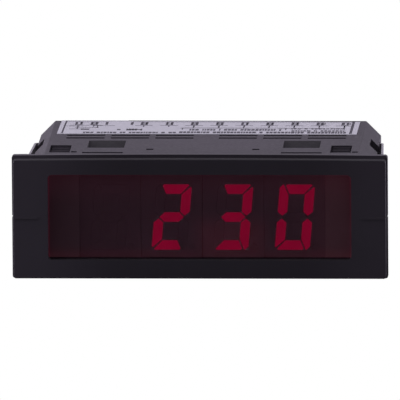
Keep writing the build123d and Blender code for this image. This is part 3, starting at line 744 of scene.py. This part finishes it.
def labelPrinting():
    look = labelPrint
    low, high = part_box("type_label")
    line = look["line"]
    mesh = bmesh.new()

    def bar(x, y, width, length):
        return addBar(mesh, x, y, width, length, high.z / mm, look["inkThickness"])

    left = look["leftLine"][0]
    right = look["rightLine"][0]
    middleY = (look["rear"] + look["front"]) / 2
    for x, width in (look["leftLine"], look["rightLine"]):
        bar(x, middleY, width, look["rear"] - look["front"])
    bar((left + right) / 2, look["rear"], right - left, line)
    first = look["signalFirst"]
    signalMarks = [first + look["signalPitch"] * index for index in range(look["signalCount"])]
    for index, x in enumerate((*look["supplyMarks"], *signalMarks)):
        printTerminal(bar, index + 1, x)
    supplyEnd = look["supplyEnd"]
    signalStart = look["signalStart"]
    for start, end, markX in ((left, supplyEnd, supplyEnd), (signalStart, right, signalStart)):
        bar((start + end) / 2, look["headLine"], end - start, line / 2)
        bar(markX, look["boxY"], 2 * line, look["headMark"])
    for x, y, length in look["across"]:
        bar(x, y, length, line)
    for x, y, length in look["along"]:
        bar(x, y, line, length)
    for block in look["blocks"]:
        bar(*block)
    for index, x in enumerate(signalMarks[2:]):
        bar(x, look["leadY"], line, look["leadLength"])
        bar(x - look["branchShift"], look["branchY"], look["branchLength"] + index % 3, line)
    for row in look["rows"]:
        printWords(bar, *row)
    printRearStrip(bar)
    centre = (low + high) / 2
    centre.z = 0
    turn = Matrix.Rotation(math.radians(-look["skew"]), 4, "Z")
    away = Matrix.Translation(centre) @ turn @ Matrix.Translation(-centre)
    bmesh.ops.transform(mesh, matrix=away, verts=mesh.verts)
    newPiece("label_printing", meshData("labelPrinting", mesh), labelInk(), "meter")


labelPrinting()
print("label printed")


# Dark border printed into the rear skin of the filter at both ends of the digits, with the digits' painted
# glow, and a dark strip below them that is painted shade

borderLook = {**digitLook, "color": (0.225, 0.19, 0.2), "ink": 0.00002}
shadeSillLook = {**plasticLook, "color": (0.07, 0.055, 0.065), "roughness": 0.6, "top": -0.00797}


def filterBorder():
    low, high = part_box("display_window")
    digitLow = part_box("digit_body_1")[0].x
    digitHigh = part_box("digit_body_4")[1].x
    mesh = bmesh.new()
    ink = borderLook["ink"] / mm
    middleY = high.y / mm - ink / 2
    shadeSillTop = shadeSillLook["top"] / mm
    for left, right in ((low.x, digitLow), (digitHigh, high.x)):
        middleX = (left + right) / 2 / mm
        addBar(mesh, middleX, middleY, (right - left) / mm, ink, shadeSillTop, high.z / mm - shadeSillTop)
    # painted shade: a dark strip along the bottom of the window
    shadeSill = addBar(mesh, 0.0, middleY, (high.x - low.x) / mm, ink, low.z / mm, shadeSillTop - low.z / mm)
    for face in {face for vert in shadeSill for face in vert.link_faces}:
        face.material_index = 1
    data = meshData("filterBorder", mesh)
    newPiece("filter_border", data, mouldedPlastic("borderPrintAndPaintedGlow", borderLook), "meter")
    data.materials.append(mouldedPlastic("paintedShadeSill", shadeSillLook))


filterBorder()
print("filter border printed")


# Floor, light and camera

def plainToCamera(tree, real, shown, out):
    # the camera sees the plain node, and reflections and light see the real one
    path = tree.nodes.new("ShaderNodeLightPath")
    mix = tree.nodes.new("ShaderNodeMixShader")
    link(tree, path.outputs["Is Camera Ray"], mix.inputs["Fac"])
    link(tree, real.outputs[0], mix.inputs[1])
    link(tree, shown.outputs[0], mix.inputs[2])
    link(tree, mix.outputs["Shader"], out.inputs["Surface"])


floorLook = {
    "size": 6.0, "drop": 0.00002, "seen": (1.0, 1.0, 1.0), "roughness": 0.9,
    "card": (0.01, 0.009, 0.0105), "paper": (0.8, 0.76, 0.84), "paperStep": (0.0, 0.06),
    "paler": (1.12, 1.12, 1.12), "scale": 3.0, "noise": (3.0, 0.5), "step": (0.3, 0.7),
}


def studioFloor():
    look = floorLook
    mesh = bmesh.new()
    bmesh.ops.create_grid(mesh, x_segments=1, y_segments=1, size=look["size"] / 2)
    data = meshData("studioFloor", mesh)
    floor = bpy.data.objects.new("studioFloor", data)
    floor.location.z = cadLow.z - look["drop"]
    bpy.context.scene.collection.objects.link(floor)
    material, tree, shader = startFinish("floorPaper")
    place = objectPlace(tree)
    cloud = cloudMask(tree, place, look["scale"], look)
    # a dark card lies in front of the meter, so that its window mirrors nothing bright
    behind = rampNode(tree, splitVector(tree, place)["Y"], *look["paperStep"])
    sheet = mixColour(tree, behind, look["card"], look["paper"])
    paler = tinted(tree, sheet, look["paler"])
    link(tree, mixColour(tree, cloud, sheet, paler), shader.inputs["Base Color"])
    shader.inputs["Roughness"].default_value = look["roughness"]
    seen = tree.nodes.new("ShaderNodeEmission")
    seen.inputs["Color"].default_value = (*look["seen"], 1.0)
    out = next(node for node in tree.nodes if node.type == "OUTPUT_MATERIAL")
    plainToCamera(tree, shader, seen, out)
    data.materials.append(material)


studioFloor()

worldLook = {"seen": (1.0, 1.0, 1.0), "room": (0.98, 0.93, 1.06), "roomStrength": 0.2}


def studioWorld():
    world = bpy.data.worlds.new("studioRoom")
    bpy.context.scene.world = world
    world.use_nodes = True
    tree = world.node_tree
    tree.nodes.clear()
    out = tree.nodes.new("ShaderNodeOutputWorld")
    room = tree.nodes.new("ShaderNodeBackground")
    room.inputs["Color"].default_value = (*worldLook["room"], 1.0)
    room.inputs["Strength"].default_value = worldLook["roomStrength"]
    seen = tree.nodes.new("ShaderNodeBackground")
    seen.inputs["Color"].default_value = (*worldLook["seen"], 1.0)
    plainToCamera(tree, room, seen, out)


studioWorld()

lamps = {
    "topBox": {
        "at": (0.0, 0.15, 0.9), "aim": (0.0, 0.0, 0.0), "size": (1.2, 0.9), "power": 4.5,
        "color": (1.0, 0.94, 1.08),
    },
    "rearWall": {
        "at": (0.0, 1.3, 0.45), "aim": (0.0, 0.0, 0.1), "size": (2.6, 0.9), "power": 0.7,
        "color": (1.0, 0.95, 1.08),
    },
    "leftCard": {
        "at": (-0.9, -0.3, 0.3), "aim": (0.0, 0.0, 0.0), "size": (0.5, 0.6), "power": 1.8,
        "color": (1.0, 0.96, 1.04),
    },
    "leftSide": {
        "at": (-0.9, 0.25, 0.27), "aim": (0.0, 0.02, 0.0), "size": (1.0, 0.5), "power": 4.7,
        "color": (1.0, 0.95, 1.07),
    },
    "rightSide": {
        "at": (0.9, 0.25, 0.27), "aim": (0.0, 0.02, 0.0), "size": (1.0, 0.5), "power": 3.6,
        "color": (1.0, 0.95, 1.07),
    },
}


def placeLamp(name, look):
    light = bpy.data.lights.new(name, "AREA")
    light.shape = "RECTANGLE"
    light.size, light.size_y = look["size"]
    light.energy = look["power"]
    light.color = look["color"]
    lamp = bpy.data.objects.new(name, light)
    bpy.context.scene.collection.objects.link(lamp)
    lamp.location = look["at"]
    lamp.rotation_euler = (Vector(look["aim"]) - Vector(look["at"])).to_track_quat("-Z", "Y").to_euler()
    lamp.visible_camera = False


for lampName, lampLook in lamps.items():
    placeLamp(lampName, lampLook)

# angles in degrees, lens and sensor in millimetres
cameraLook = {
    "azimuth": 2.8, "elevation": 9.75, "roll": -0.4, "distance": 3.5, "lens": 1635.6, "sensor": 36.0,
    "aim": (-0.0010176, 0.02, -0.0005266), "clipStart": 0.1, "clipEnd": 20.0,
}


def placeCamera():
    look = cameraLook
    data = bpy.data.cameras.new("studioCamera")
    data.lens = look["lens"]
    data.sensor_width = look["sensor"]
    data.clip_start = look["clipStart"]
    data.clip_end = look["clipEnd"]
    camera = bpy.data.objects.new("studioCamera", data)
    bpy.context.scene.collection.objects.link(camera)
    turn = math.radians(look["azimuth"])
    lift = math.radians(look["elevation"])
    back = Vector((math.sin(turn) * math.cos(lift), -math.cos(turn) * math.cos(lift), math.sin(lift)))
    camera.location = Vector(look["aim"]) + back * look["distance"]
    level = (-back).to_track_quat("-Z", "Y")
    roll = Matrix.Rotation(math.radians(look["roll"]), 4, "Z").to_quaternion()
    camera.rotation_mode = "QUATERNION"
    camera.rotation_quaternion = level @ roll
    bpy.context.scene.camera = camera


placeCamera()
bpy.context.scene.view_settings.view_transform = "Standard"
bpy.context.scene.view_settings.look = "None"
print("studio set")
